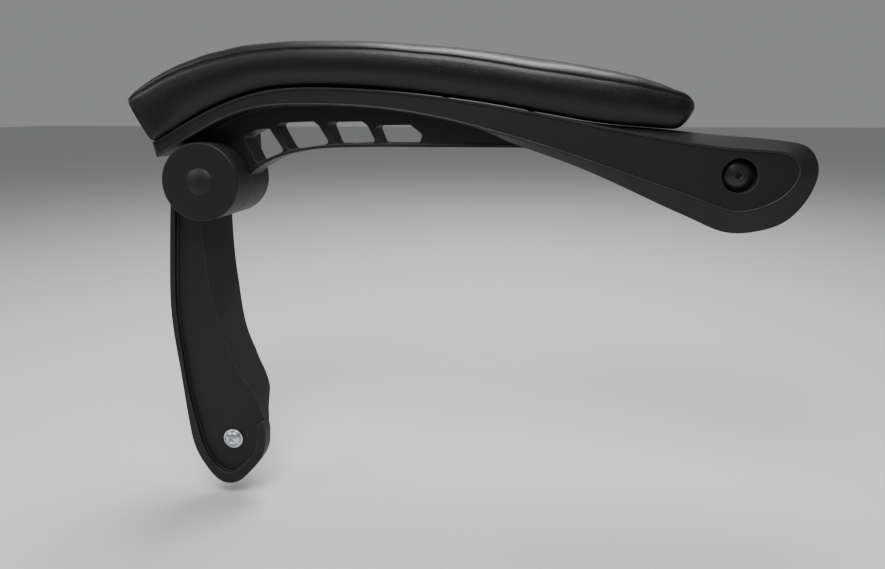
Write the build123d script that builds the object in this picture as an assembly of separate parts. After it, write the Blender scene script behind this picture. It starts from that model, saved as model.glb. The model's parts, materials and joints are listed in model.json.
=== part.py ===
"""Linkage armrest of a reclining office chair: a padded curved arm, a front hub joint and a strut.

The arm turns on a bolt in the chair's backrest and on a hub at the top of the strut, and the
strut's foot turns on a bolt in the seat frame.  Millimetres.  X runs to the rear, Y inward
towards the chair, Z up.  The origin is on the rear pivot's axis, in the plane where the
armrest meets the chair, so everything outboard of the chair has a negative Y.
"""

from build123d import *
import os

# ---- layout in side view -------------------------------------------------------------------
reach = 448.0  # rear pivot axis to front hub axis, along X
hub_top = 25.0  # top of the hub above the rear pivot axis
strut_drop = 241.5  # front hub axis down to the foot bolt axis
foot_shift = 6.5  # foot bolt axis behind the hub axis
rear_overhang = 63.0  # rear pivot axis to the rear end of the arm
front_overhang = 41.0  # hub axis to the front end of the arm

# ---- stations across the chair, Y ----------------------------------------------------------
disc_y = -52.0  # outer face of the hub cover
arm_outer_y = -50.0  # outer face of the arm
bevel_depth = 8.0  # how far the arm's rear bevel falls back
arm_inner_y = 10.0  # inner face of the arm under the pad
rear_inner_y = -12.0  # inner face of the arm at the rear boss
taper_start = 75.0  # ahead of the rear pivot, where the arm starts to narrow
taper_end = 22.0  # ahead of the rear pivot, where the arm is at its boss width
boss_outer_y = -30.0  # outer face of the arm's hub boss
boss_inner_y = 2.0  # inner face of the arm's hub boss
strut_outer_y = -36.5  # outer face of the strut
strut_inner_y = 2.0  # inner face of the strut's upper half
foot_inner_y = -27.0  # inner face of the strut's foot
web_thick = 20.0  # windowed web under the arm

# ---- hub -----------------------------------------------------------------------------------
hub_r = 34.0
hub_rise = hub_top - hub_r  # front hub axis above the rear pivot axis
cover_thick = 3.2
cover_edge = 1.4  # rounding of the hub cover's edge
cover_skirt = 5.0  # snap ring behind the hub cover
head_gap = 0.8  # gap between the strut's head and the arm's boss
cradle_gap = 1.0  # gap between the strut's top and the arm's boss
hub_bolt_r = 5.0
hub_wall = 3.6
cap_r = 12.0
cap_dome = 3.6
cap_skirt = 2.6
boss_core_r = 15.0
boss_core_length = 15.0
inner_cap_r = 30.6
inner_cap_thick = 2.6

# ---- arm moulding --------------------------------------------------------------------------
wall = 3.5
panel_step = 1.0  # depth of the recessed side panel
panel_inset = 1.4  # flat rim round the recessed panel
rib_thick = 2.5
rib_count = 6
deck_under_head = 5.0  # arm material between a pad bolt's washer and the pad
bolt_tube_r = 9.0
chord_thick = 2.6
chord_proud = 0.8
window_corner = 3.0

# ---- inner cover ---------------------------------------------------------------------------
inner_cover_thick = 2.5
cover_lap = 2.0
cover_gap = 0.25
cover_screw_r = 1.6
cover_screw_length = 12.0
cover_screw_head_r = 3.4
cover_boss_r = 4.5

# ---- pad -----------------------------------------------------------------------------------
pad_lift = 0.8  # clearance of the pad's underside above the deck's drawn line
pad_side_overhang = 8.5  # pad beyond the outer face of the arm
pad_width = 80.0
pad_edge_round = 13.0
pad_tuck = 11.0  # how far the pad's lower edge is tucked in
pad_stations = 30  # cross-sections along the pad's underside
# Height of the pad, and its width as a share of pad_width, at shares of the underside's length.
pad_height_table = ((0, 39.0), (0.05, 47.0), (0.10, 47.6), (0.15, 46.0), (0.20, 43.0),
                    (0.26, 40.2), (0.36, 39.5), (0.50, 40.4), (0.60, 42.0), (0.70, 42.3),
                    (0.82, 44.4), (0.87, 44.0), (0.92, 41.8), (0.96, 38.4), (1, 33.3))
pad_width_table = ((0, 0.92), (0.03, 1.0), (0.90, 1.0), (1, 0.90))
# The rounded rear end beyond the underside: distance on, low, high, share of the width.
pad_rear_sections = ((7.0, 6.0, 31.5, 0.76), (14.0, 13.0, 25.5, 0.58))
cover_skin = 1.4
board_gap = 0.1
board_thick = 8.0
board_margin = 18.0  # board short of the pad's underside at each end
pad_bolt_y = -8.0
pad_bolt_stations = (0.29, 0.51, 0.73, 0.95)  # shares of the deck's length

# ---- fasteners -----------------------------------------------------------------------------
pad_bolt_r = 3.0
pad_bolt_head_r = 5.0
pad_bolt_head = 4.0
pad_washer_r = 6.0
pad_washer_thick = 1.2
counterbore_r = 6.6
tee_flange_r = 8.5
tee_flange_thick = 1.2
tee_barrel_r = 4.0
pivot_bolt_r = 4.0  # M8 studs that go into the chair
shank_r = 3.6  # plain shank of the pivot bolts, rolled below the thread's size
stud_length = 18.0
stud_tip = 0.9  # chamfer at the stud's end
running = 0.05  # radial clearance of every turning fit
drill = 0.3  # radial clearance of a plain bolt hole

# ---- rear pivot ----------------------------------------------------------------------------
rear_head_r = 12.8
rear_head = 5.0
rear_counterbore_r = 14.2
rear_counterbore = 8.5
sleeve_wall = 2.8
bush_wall = 2.0
bush_flange = 1.5
bush_flange_r = 11.5
rear_spacer_r = 16.0
rear_boss_r = 24.0

# ---- strut and foot ------------------------------------------------------------------------
strut_recess = 3.6
strut_wall = 3.5
foot_head_r = 7.0
foot_head = 4.4
foot_washer_r = 9.0
foot_washer_thick = 1.5
foot_spacer_r = 12.0
side_gap = 0.2  # end float of each turning piece

hub_x = -reach
hub_z = hub_rise
foot_x = hub_x + foot_shift
foot_z = hub_z - strut_drop
front_x = hub_x - front_overhang
pad_mid_y = arm_outer_y - pad_side_overhang + pad_width / 2
board_top = pad_lift + cover_skin + board_gap + board_thick  # above the deck


# ---- helpers -------------------------------------------------------------------------------
def side_plane(y):
    """Drawing plane seen from outside the chair: local x is +X and local y is +Z."""
    return Plane(origin=(0, y, 0), x_dir=(1, 0, 0), z_dir=(0, -1, 0))


def slab(shape, y_low, y_high):
    """A side-view outline given thickness between two stations across the chair."""
    return extrude(side_plane(y_high) * shape, amount=y_high - y_low, dir=(0, -1, 0))


def rod(x, z, radius, y_low, y_high):
    """A cylinder along Y."""
    return slab(Pos(x, z) * Circle(radius), y_low, y_high)


def tube(x, z, outer_r, inner_r, y_low, y_high):
    """A hollow cylinder along Y."""
    return slab(Pos(x, z) * (Circle(outer_r) - Circle(inner_r)), y_low, y_high)


def rim_edges(part, y):
    """The part's edges that lie in one plane across the chair."""
    return part.edges().filter_by(lambda e: abs(e.bounding_box().min.Y - y) < 0.01
                                  and abs(e.bounding_box().max.Y - y) < 0.01)


def save(part, name):
    """Write one piece, or one group of like pieces, to its own file."""
    part.label = name
    export_step(part, f"parts/{name}.step")


def mid(share):
    """A station between the rear pivot, 0, and the front hub, 1."""
    return hub_x * share


def ring(edges, runs=1):
    """A face bounded by edges that follow each other, each curve cut into a few runs."""
    cut = []
    for edge in edges:
        count = 1 if edge.geom_type == GeomType.LINE else runs
        cut += [edge.trim(i / count, (i + 1) / count) for i in range(count)]
    return make_face(cut)


def inset(outline, amount):
    """The outline moved in by amount, its long curved edges redrawn as short plain splines."""
    edges = []
    for edge in offset(outline, amount=-amount).edges():
        if edge.geom_type == GeomType.LINE or edge.length < 1.0:
            edges.append(Line(edge @ 0, edge @ 1))
            continue
        count = 1 + int(edge.length / 45)
        for i in range(count):
            points = [edge @ ((i + j / 8) / count) for j in range(9)]
            ends = [edge % (i / count), edge % ((i + 1) / count)]
            edges.append(Spline(*points, tangents=ends))
    return make_face(edges)


# ---- outlines of the arm -------------------------------------------------------------------
# The arm has two outlines: its silhouette, and the edge of the side panel, which lies nearer
# the outer face.  Ahead of the two merge points they are one line.
top_merge = (mid(0.335), 47.7)
bottom_merge = (mid(0.536), 45.0)
nose_top = (front_x, 25.0)
nose_bottom = (front_x + 3, 12.0)
deck_points = [
    nose_top, (hub_x - 7, 43), (hub_x + 28, 59), (mid(0.86), 68.3), (mid(0.76), 70.5),
    (mid(0.636), 67.7), (mid(0.469), 58.3), top_merge,
]
behind_deck_points = [(mid(0.245), 40.8), (mid(0.134), 36.4)]


def deck_edge():
    """Top of the arm from its nose to where the rear bevel starts."""
    return Spline(*deck_points)


def underside_edge():
    """Lower edge of the arm's skin, from where the bevel ends to the nose."""
    return Spline(
        bottom_merge, (mid(0.667), 53.9), (mid(0.797), 56), (mid(0.904), 51.8),
        (hub_x + 4, 35.7), nose_bottom,
    )


def arm_outline():
    """Silhouette of the arm: deck, rear end, underside and nose."""
    end = rear_overhang
    deck = deck_edge()
    under = underside_edge()
    rear = Spline(
        top_merge, *behind_deck_points, (mid(0.022), 31.6), (end - 24, 27.2), (end - 8.5, 22.2),
        (end - 1.5, 12), (end, 3), (end - 3, -10), (end - 12, -26), (end - 26, -39),
        (end - 46, -46), (2, -47.8), (-12, -46), (-30, -38.4), (-52, -28.6), (mid(0.18), -15.3),
        (mid(0.311), 10.0), (mid(0.41), 25.8), bottom_merge,
        tangents=[deck % 1, under % 0],
    )
    return [deck, rear, under, Line(nose_bottom, nose_top)]


def panel_outline():
    """Edge of the arm's side panel: deck, rear end, underside and nose."""
    end = rear_overhang
    deck = deck_edge()
    under = underside_edge()
    rear = Spline(
        top_merge, (mid(0.245), 39.2), (mid(0.15), 31.4), (mid(0.025), 22.6), (end - 35, 19.8),
        (end - 21, 15.4), (end - 16, 5), (end - 18.5, -5), (end - 27, -16), (end - 41, -24.6),
        (end - 55, -29), (-2, -29.8), (-16, -26.4), (-30, -21), (mid(0.192), -1.3),
        (mid(0.33), 20), (mid(0.45), 35.4), bottom_merge,
        tangents=[deck % 1, under % 0],
    )
    return [deck, rear, under, Line(nose_bottom, nose_top)]


def plan_block(outline_points):
    """A tall block with the given outline in plan view."""
    return extrude(Polygon(*outline_points, align=None), amount=2 * strut_drop, both=True)


def on_deck(share):
    """Plane on top of the arm at a share of the deck's length, facing up out of the deck."""
    deck = deck_edge()
    point = deck @ share
    slope = deck % share
    return Plane(
        origin=(point.X, pad_bolt_y, point.Y), x_dir=(slope.X, 0, slope.Y),
        z_dir=(-slope.Y, 0, slope.X),
    )


# ---- arm -----------------------------------------------------------------------------------
def arm_shell():
    """The arm's outer body, bevelled at the rear and narrower at the rear boss."""
    silhouette = ring(arm_outline(), 6)
    panel = ring(panel_outline(), 6)
    bevel_y = arm_outer_y + bevel_depth
    body = slab(silhouette, bevel_y, arm_inner_y)
    faces = [side_plane(bevel_y) * silhouette, side_plane(arm_outer_y) * panel]
    body = body + loft(faces, ruled=True)
    far = 2 * reach
    plan = plan_block([
        (-far, arm_outer_y - 1), (far, arm_outer_y - 1), (far, rear_inner_y),
        (-taper_end, rear_inner_y), (-taper_start, arm_inner_y), (-far, arm_inner_y),
    ])
    return body & plan


def pocket_outline(margin):
    """Outline of the arm's hollow, between the hub and the start of the rear taper."""
    hollow = inset(ring(panel_outline(), 6), margin)
    front = mid(0.985)
    rear = -taper_start - 8
    window = Pos((front + rear) / 2, 0) * Rectangle(rear - front, 4 * strut_drop)
    return hollow & window


def rib_stations():
    """Evenly spaced ribs along the hollow."""
    first = mid(0.9)
    last = -taper_start - 38
    return [first + (last - first) * i / (rib_count - 1) for i in range(rib_count)]


def cover_screw_places():
    """Centres of the inner cover's screws, near the top and bottom of the deep part."""
    return [
        (mid(0.93), 54.2), (mid(0.78), 63.2), (mid(0.61), 57.6), (mid(0.43), 43.0),
        (mid(0.23), 31.6), (mid(0.25), 16.5),
    ]


def web_outline():
    """The windowed web and the neck that joins the hub boss to the arm."""
    return ring([
        Spline((hub_x + 30, -9), (hub_x + 39, 0.4), (mid(0.842), 14.4), (mid(0.755), 19.7),
               (mid(0.667), 20.6)),
        Line((mid(0.667), 20.6), (mid(0.40), 20.6)),
        Line((mid(0.40), 20.6), (mid(0.36), 19.5)),
        Line((mid(0.36), 19.5), (mid(0.40), 36)),
        Spline((mid(0.40), 36), (mid(0.536), 48), (mid(0.667), 57), (mid(0.797), 59),
               (mid(0.904), 55), (hub_x + 4, 39)),
        Line((hub_x + 4, 39), (hub_x - 24, 25)),
        Line((hub_x - 24, 25), (hub_x - 22, hub_z)),
        Line((hub_x - 22, hub_z), (hub_x + 30, -9)),
    ])


def chord_outline():
    """Flange along the web's lower edge."""
    return ring([
        Spline((hub_x + 39, 0.4), (mid(0.842), 14.4), (mid(0.755), 19.7), (mid(0.667), 20.6)),
        Line((mid(0.667), 20.6), (mid(0.40), 20.6)),
        Line((mid(0.40), 20.6), (mid(0.40), 20.6 + chord_thick)),
        Line((mid(0.40), 20.6 + chord_thick), (mid(0.667), 20.6 + chord_thick)),
        Spline((mid(0.667), 20.6 + chord_thick), (mid(0.755), 19.7 + chord_thick),
               (mid(0.842), 14.4 + chord_thick), (hub_x + 37.5, 0.4 + chord_thick)),
        Line((hub_x + 37.5, 0.4 + chord_thick), (hub_x + 39, 0.4)),
    ])


def web_windows():
    """The four windows of the web, each a slanted quadrilateral with rounded corners."""
    corners = [
        [(hub_x + 29, 28.6), (hub_x + 41, 35), (hub_x + 53, 36.2), (hub_x + 65.6, 16.6),
         (hub_x + 40, 5.4)],
        [(mid(0.868), 41), (mid(0.792), 42.2), (mid(0.782), 38.6), (mid(0.761), 23),
         (mid(0.845), 17.6)],
        [(mid(0.767), 41.8), (mid(0.696), 42.3), (mid(0.686), 38.9), (mid(0.669), 23.8),
         (mid(0.751), 23)],
        [(mid(0.673), 39), (mid(0.602), 39.4), (mid(0.579), 31.4), (mid(0.585), 23.8),
         (mid(0.660), 23.8)],
    ]
    windows = []
    for points in corners:
        shape = Polygon(*points, align=None)
        windows.append(fillet(shape.vertices(), window_corner))
    return windows


def make_arm():
    """The moulded arm: beam, hub boss, windowed web and rear boss in one piece."""
    arm = arm_shell()
    arm -= slab(inset(ring(panel_outline(), 6), panel_inset), arm_outer_y - 1,
                arm_outer_y + panel_step)

    hollow = slab(pocket_outline(wall), arm_outer_y + panel_step + wall, arm_inner_y + 1)
    arm -= hollow
    for x in rib_stations():
        arm += slab(Pos(x, 0) * Rectangle(rib_thick, 4 * strut_drop),
                    arm_outer_y, arm_inner_y - inner_cover_thick) & hollow

    web_inner = boss_outer_y + web_thick
    web = slab(web_outline(), boss_outer_y, web_inner)
    neck = Polygon(
        (hub_x - 27, 15), (hub_x + 28, 15), (hub_x + 28, 35), (hub_x - 2, 35), (hub_x - 27, 22),
        align=None,
    )
    arm += slab(neck, boss_outer_y, boss_inner_y)
    arm += web
    arm += slab(chord_outline(), boss_outer_y - chord_proud, web_inner + chord_proud)
    beam = slab(ring(arm_outline(), 6), boss_outer_y - 3, web_inner + 3)
    for window in web_windows():
        arm -= slab(window, boss_outer_y - 3, web_inner + 3) - beam
    arm += rod(hub_x, hub_z, hub_r, boss_outer_y, boss_inner_y)

    # Boss seats for the inner cover's screws and tubes for the pad bolts.
    for x, z in cover_screw_places():
        post = rod(x, z, cover_boss_r, arm_outer_y + panel_step, arm_inner_y - inner_cover_thick)
        arm += post & hollow
    for share in pad_bolt_stations:
        deck = on_deck(share)
        post = deck.offset(-80) * Cylinder(bolt_tube_r, 80, align=(Align.CENTER, Align.CENTER,
                                                                   Align.MIN))
        arm += post & hollow
        bore = deck.offset(-80) * Cylinder(counterbore_r, 80 - deck_under_head,
                                           align=(Align.CENTER, Align.CENTER, Align.MIN))
        hole = deck.offset(-80) * Cylinder(pad_bolt_r + drill, 100,
                                           align=(Align.CENTER, Align.CENTER, Align.MIN))
        arm -= bore
        arm -= hole

    # Hub boss: bush bore, nut recess, ring-shaped core-out and the inner cap's seat.
    core_end = boss_outer_y + boss_core_length
    arm -= rod(hub_x, hub_z, hub_bolt_r + running + bush_wall, boss_outer_y - 1, core_end + 1)
    arm -= rod(hub_x, hub_z, boss_core_r - 1, core_end, boss_inner_y + 1)
    arm -= rod(hub_x, hub_z, bush_flange_r, core_end - bush_flange, core_end + 1)
    arm -= tube(hub_x, hub_z, hub_r - hub_wall - 2, boss_core_r + 2, boss_outer_y + hub_wall,
                boss_inner_y + 1)
    arm -= rod(hub_x, hub_z, inner_cap_r + cover_gap, boss_inner_y - inner_cap_thick,
               boss_inner_y + 1)

    # Rear boss: coring from the inner face round a round boss, then the pivot's bores.
    rear_edge = panel_outline()[1]
    rear_cell = inset(ring([rear_edge, Line(rear_edge @ 1, rear_edge @ 0)], 6), wall + 2)
    rear_cell &= Pos(2 * reach - taper_end, 0) * Rectangle(4 * reach, 4 * strut_drop)
    rear_cell -= Circle(rear_boss_r)
    for angle in (15, 100, 195, 285):
        spoke = Rot(0, 0, angle) * Pos(reach / 2, 0) * Rectangle(reach, rib_thick)
        rear_cell -= spoke
    arm -= slab(rear_cell, arm_outer_y + bevel_depth + wall, rear_inner_y + 1)
    sleeve_r = pivot_bolt_r + drill + sleeve_wall
    arm -= rod(0, 0, sleeve_r + running + bush_wall, arm_outer_y - 1, rear_inner_y + 1)
    floor_y = arm_outer_y + panel_step + rear_counterbore
    arm -= rod(0, 0, rear_counterbore_r, arm_outer_y - 1, floor_y)

    # Seat and holes for the inner cover.
    lap = slab(pocket_outline(wall - cover_lap), arm_inner_y - inner_cover_thick, arm_inner_y + 1)
    arm -= lap
    for x, z in cover_screw_places():
        arm -= rod(x, z, cover_screw_r, arm_inner_y - inner_cover_thick - cover_screw_length,
                   arm_inner_y)
    return arm


def make_inner_cover():
    """Plate that closes the arm's hollow from the inner side."""
    plate = slab(pocket_outline(wall - cover_lap + cover_gap), arm_inner_y - inner_cover_thick,
                 arm_inner_y)
    for x, z in cover_screw_places():
        plate -= rod(x, z, cover_screw_r + drill, arm_inner_y - 10, arm_inner_y + 1)
        plate -= rod(x, z, cover_screw_head_r + drill, arm_inner_y - 1.4, arm_inner_y + 1)
    return plate


def make_cover_screws():
    """Pan-head screws of the inner cover."""
    seat = arm_inner_y - 1.4
    screws = []
    for x, z in cover_screw_places():
        screw = rod(x, z, cover_screw_r, seat - cover_screw_length + 2, seat)
        screw += rod(x, z, cover_screw_head_r, seat, seat + 1.9)
        socket = Pos(x, z) * RegularPolygon(1.3, 6)
        screws.append(screw - slab(socket, seat + 0.7, seat + 3))
    return screws


# ---- pad -----------------------------------------------------------------------------------
def pad_base():
    """Line along the pad's underside, just clear of the deck, from the nose to the rear."""
    points = deck_points + behind_deck_points + [(mid(0.113), 35.8)]
    return Spline(*[(x, z + pad_lift) for x, z in points])


def between(table, share):
    """Straight-line reading of a table of (share, value) pairs."""
    for (s0, v0), (s1, v1) in zip(table, table[1:]):
        if share <= s1:
            break
    return v0 + (v1 - v0) * (share - s0) / (s1 - s0)


def cross_plane(share):
    """Plane square to the pad's underside, with local x along Y and local y up out of the pad."""
    base = pad_base()
    point = base @ share
    slope = base % share
    return Plane(origin=(point.X, pad_mid_y, point.Y), x_dir=(0, 1, 0),
                 z_dir=(slope.X, 0, slope.Y))


def pad_section(place, half_width, low, high):
    """One eight-sided cross-section of the pad: tucked in below and rounded above."""
    crown = min(pad_edge_round, 0.35 * (high - low))
    tuck = min(pad_tuck, 0.35 * (high - low))
    right = [
        (half_width - tuck, low), (half_width, low + tuck), (half_width, high - crown),
        (half_width - crown, high),
    ]
    left = [(-x, z) for x, z in reversed(right)]
    return place * Polygon(*right, *left, align=None)


def pad_solid(margin):
    """The pad's plain rounded body, or the same body shrunk by margin on every side."""
    length = pad_base().length
    sections = []
    for i in range(pad_stations):
        share = margin / length + i / (pad_stations - 1) * (1 - margin / length)
        half_width = pad_width / 2 * between(pad_width_table, share) - margin
        height = between(pad_height_table, share)
        sections.append(pad_section(cross_plane(share), half_width, margin, height - margin))
    for reach_on, low, high, width_share in pad_rear_sections:
        place = cross_plane(1).offset(reach_on - margin)
        half_width = pad_width / 2 * width_share - margin
        sections.append(pad_section(place, half_width, low + margin, high - margin))
    return loft(sections, ruled=True)


def board_solid():
    """A bent strip that follows the pad's underside inside the cover."""
    length = pad_base().length
    half_width = pad_width / 2 - pad_tuck - 4
    sections = []
    for i in range(pad_stations):
        share = cover_skin / length + i / (pad_stations - 1) * (1 - cover_skin / length)
        if board_margin < share * length < length - board_margin:
            middle = cover_skin + board_gap + board_thick / 2
            strip = Pos(0, middle) * Rectangle(2 * half_width, board_thick)
            sections.append(cross_plane(share) * strip)
    return loft(sections, ruled=True)


def make_board():
    """Plywood board with a hole for each tee nut."""
    board = board_solid()
    for share in pad_bolt_stations:
        board -= on_deck(share).offset(5) * Cylinder(tee_barrel_r, 60)
    return board


def make_tee_nuts():
    """Tee nuts hammered into the board from above."""
    nuts = []
    for share in pad_bolt_stations:
        deck = on_deck(share)
        top = board_top + 0.1
        flange = deck.offset(top + tee_flange_thick / 2) * Cylinder(tee_flange_r, tee_flange_thick)
        barrel_length = board_thick - 1
        barrel = deck.offset(top - barrel_length / 2) * Cylinder(tee_barrel_r, barrel_length)
        bore = deck.offset(top) * Cylinder(pad_bolt_r, 4 * barrel_length)
        nuts.append(flange + barrel - bore)
    return nuts


def make_pad_bolts():
    """Button-head bolts that pull the board down on the arm, heads downward."""
    bolts = []
    seat = -deck_under_head - pad_washer_thick
    tip = board_top + tee_flange_thick
    for share in pad_bolt_stations:
        deck = on_deck(share)
        shank = deck.offset((seat + tip) / 2) * Cylinder(pad_bolt_r, tip - seat)
        head = deck.offset(seat - pad_bolt_head / 2) * Cylinder(pad_bolt_head_r, pad_bolt_head)
        socket = deck.offset(seat - pad_bolt_head) * extrude(RegularPolygon(2.3, 6), amount=2.2)
        bolts.append(shank + head - socket)
    return bolts


def make_pad_washers():
    """One flat washer under each pad bolt's head."""
    washers = []
    for share in pad_bolt_stations:
        place = on_deck(share).offset(-deck_under_head - pad_washer_thick / 2)
        washer = Cylinder(pad_washer_r, pad_washer_thick)
        washers.append(place * (washer - Cylinder(pad_bolt_r + drill, pad_washer_thick)))
    return washers


def make_pad():
    """The pad's cover and the foam inside it."""
    outside = pad_solid(0)
    inside = pad_solid(cover_skin)
    skin = outside - inside
    board = make_board()
    nuts = make_tee_nuts()
    foam = inside - board_solid()
    for share in pad_bolt_stations:
        deck = on_deck(share)
        room = deck.offset(board_top) * Cylinder(tee_flange_r + 0.5, 6)
        foam -= room
        hole = deck * Cylinder(pad_bolt_r + 1, 4 * board_thick)
        skin -= hole
        foam -= hole
    return skin, foam, board, nuts


# ---- hub joint -----------------------------------------------------------------------------
head_outer_y = disc_y + cover_thick + 0.2
head_inner_y = boss_outer_y - head_gap
head_floor = 6.5  # thickness of the strut head's floor
head_floor_y = head_inner_y - head_floor
washer_thick = 2.5
hub_head = 6.4
hub_nut_length = 9.5
wave_thick = 1.6


def make_hub_cover():
    """Round cover on the outer side of the hub, with a snap ring behind it."""
    disc = rod(hub_x, hub_z, hub_r, disc_y, disc_y + cover_thick)
    disc = fillet(rim_edges(disc, disc_y), cover_edge)
    skirt_r = hub_r - hub_wall - cover_gap
    disc += tube(hub_x, hub_z, skirt_r, skirt_r - 2, disc_y + cover_thick,
                 disc_y + cover_thick + cover_skirt)
    return disc - rod(hub_x, hub_z, cap_r - cap_skirt, disc_y - 1, disc_y + 20)


def make_hub_cap():
    """Domed cap in the middle of the hub cover."""
    sphere_r = (cap_r**2 + cap_dome**2) / (2 * cap_dome)
    ball = Pos(hub_x, disc_y - cap_dome + sphere_r, hub_z) * Sphere(sphere_r)
    dome = ball & rod(hub_x, hub_z, cap_r, disc_y - 2 * cap_dome, disc_y)
    stem_r = cap_r - cap_skirt - cover_gap
    return dome + tube(hub_x, hub_z, stem_r, stem_r - 1.6, disc_y, disc_y + cover_thick + 2)


def make_hub_bolt():
    """Hexagon bolt through the hub."""
    seat = head_floor_y - washer_thick
    end = boss_outer_y + boss_core_length + washer_thick + wave_thick + hub_nut_length + 0.5
    head = slab(Pos(hub_x, hub_z) * RegularPolygon(8.5, 6, major_radius=False),
                seat - hub_head, seat)
    return head + rod(hub_x, hub_z, hub_bolt_r, seat, end)


def make_hub_hardware():
    """Washers, friction washer, wave washer and lock nut on the hub bolt."""
    hole_r = hub_bolt_r + drill
    core_end = boss_outer_y + boss_core_length
    pieces = {}
    pieces["hub_outer_washer"] = tube(hub_x, hub_z, 14, hole_r, head_floor_y - washer_thick,
                                      head_floor_y)
    pieces["hub_friction_washer"] = tube(hub_x, hub_z, hub_r - 5, hole_r, head_inner_y,
                                         boss_outer_y - 0.05)
    pieces["hub_inner_washer"] = tube(hub_x, hub_z, 12, hole_r, core_end + 0.05,
                                      core_end + washer_thick)
    start = core_end + washer_thick
    pieces["hub_wave_washer"] = tube(hub_x, hub_z, 10, hole_r, start, start + wave_thick)
    start += wave_thick
    hexagon = Pos(hub_x, hub_z) * RegularPolygon(8.5, 6, major_radius=False)
    nut = slab(hexagon, start, start + hub_nut_length - 2)
    nut += rod(hub_x, hub_z, 7.6, start + hub_nut_length - 2, start + hub_nut_length)
    pieces["hub_nut"] = nut - rod(hub_x, hub_z, hub_bolt_r, start - 1, start + hub_nut_length + 1)
    return pieces


def flanged_bush(x, z, bore_r, y_flange, y_end):
    """A bush whose flange starts at y_flange and whose barrel ends at y_end, either way."""
    step = bush_flange if y_end > y_flange else -bush_flange
    low, high = sorted((y_flange, y_flange + step))
    flange = tube(x, z, bush_flange_r, bore_r, low, high)
    low, high = sorted((y_flange, y_end))
    return flange + tube(x, z, bore_r + bush_wall, bore_r, low, high)


def make_hub_bush():
    """Bush in the arm's hub boss."""
    core_end = boss_outer_y + boss_core_length
    return flanged_bush(hub_x, hub_z, hub_bolt_r + running, core_end, boss_outer_y)


def make_hub_inner_cap():
    """Snap-in cap that hides the nut on the hub's inner side."""
    cap = rod(hub_x, hub_z, inner_cap_r, boss_inner_y - inner_cap_thick, boss_inner_y)
    cap = chamfer(rim_edges(cap, boss_inner_y), 0.8)
    skirt_r = boss_core_r - 1 - cover_gap
    return cap + tube(hub_x, hub_z, skirt_r, skirt_r - 1.5, boss_inner_y - inner_cap_thick - 2.5,
                      boss_inner_y - inner_cap_thick)


# ---- strut ---------------------------------------------------------------------------------
def drop(share):
    """Height of a point at a share of the way down the strut."""
    return hub_z - strut_drop * share


def strut_outline():
    """Outer face of the strut: its front edge, round foot and rear edge."""
    front = Spline(
        (hub_x - 36.5, drop(0)), (hub_x - 40.1, drop(0.19)), (hub_x - 42.8, drop(0.34)),
        (hub_x - 44.2, drop(0.47)), (hub_x - 42.6, drop(0.60)), (hub_x - 39.8, drop(0.70)),
        (hub_x - 36.4, drop(0.84)), (foot_x - 39, drop(0.98)),
    )
    toe = Spline(
        front @ 1, (foot_x - 33.6, drop(1.06)), (foot_x - 23.4, drop(1.13)),
        (foot_x - 10, drop(1.176)), (foot_x + 3, drop(1.171)), (foot_x + 14, drop(1.135)),
        (foot_x + 25.8, drop(1.078)), (foot_x + 31.3, drop(1.025)), (foot_x + 32.2, drop(0.98)),
        (foot_x + 30, drop(0.92)),
        tangents=[front % 1, Vector(-6, 17)],
    )
    rear = Spline(
        toe @ 1, (foot_x + 21.5, drop(0.825)), (hub_x + 18.6, drop(0.765)),
        (hub_x + 9.6, drop(0.70)), (hub_x - 1, drop(0.57)), (hub_x - 8, drop(0.45)),
        (hub_x - 12.6, drop(0.27)), (hub_x - 14.8, drop(0.12)), (hub_x - 15, drop(0)),
        tangents=[toe % 1, Vector(0, 1)],
    )
    return [front, toe, rear, Line(rear @ 1, front @ 0)]


def strut_back_outline():
    """The strut's outline in the plane of its inner face, where its rear flank has flared."""
    front, toe, rear, top = strut_outline()
    flared = Spline(
        toe @ 1, (foot_x + 23.5, drop(0.825)), (hub_x + 21, drop(0.765)),
        (hub_x + 12.4, drop(0.70)), (hub_x + 3.2, drop(0.58)), (hub_x - 0.4, drop(0.45)),
        (hub_x - 3.2, drop(0.32)), (hub_x - 4, drop(0.14)), (hub_x - 3.6, drop(0)),
        tangents=[toe % 1, Vector(0, 1)],
    )
    return [front, toe, flared, Line(flared @ 1, front @ 0)]


def recess_outline():
    """The recess in the outer face: a rim in front and round the toe, open at the rear."""
    side = Spline(
        (hub_x - 33, drop(0.02)), (hub_x - 35.9, drop(0.19)), (hub_x - 38.5, drop(0.34)),
        (hub_x - 39.8, drop(0.47)), (hub_x - 38.3, drop(0.60)), (hub_x - 36.0, drop(0.70)),
        (hub_x - 32.0, drop(0.84)), (foot_x - 32.5, drop(0.96)), (foot_x - 28.6, drop(1.03)),
        (foot_x - 20, drop(1.096)), (foot_x - 6, drop(1.136)), (foot_x + 9, drop(1.103)),
        (foot_x + 21, drop(1.04)), (foot_x + 24.5, drop(0.985)), (foot_x + 24, drop(0.94)),
    )
    return ring([
        side,
        Line(side @ 1, (hub_x + 60, drop(0.86))),
        Line((hub_x + 60, drop(0.86)), (hub_x + 60, drop(0.02))),
        Line((hub_x + 60, drop(0.02)), side @ 0),
    ])


def strut_side_profile():
    """Side profile across the chair: full depth above, thin at the foot."""
    points = [
        (strut_inner_y, hub_z + 60), (strut_inner_y, drop(0.70)),
        (strut_inner_y - 4, drop(0.775)), (strut_inner_y - 11, drop(0.84)),
        (foot_inner_y + 7, drop(0.895)), (foot_inner_y, drop(0.94)),
        (foot_inner_y, drop(1.3)),
    ]
    outline = [(strut_outer_y - 1, points[0][1]), *points, (strut_outer_y - 1, points[-1][1])]
    place = Plane(origin=(hub_x, 0, 0), x_dir=(0, 1, 0), z_dir=(1, 0, 0))
    return extrude(place * Polygon(*outline, align=None), amount=strut_drop, both=True)


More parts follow.
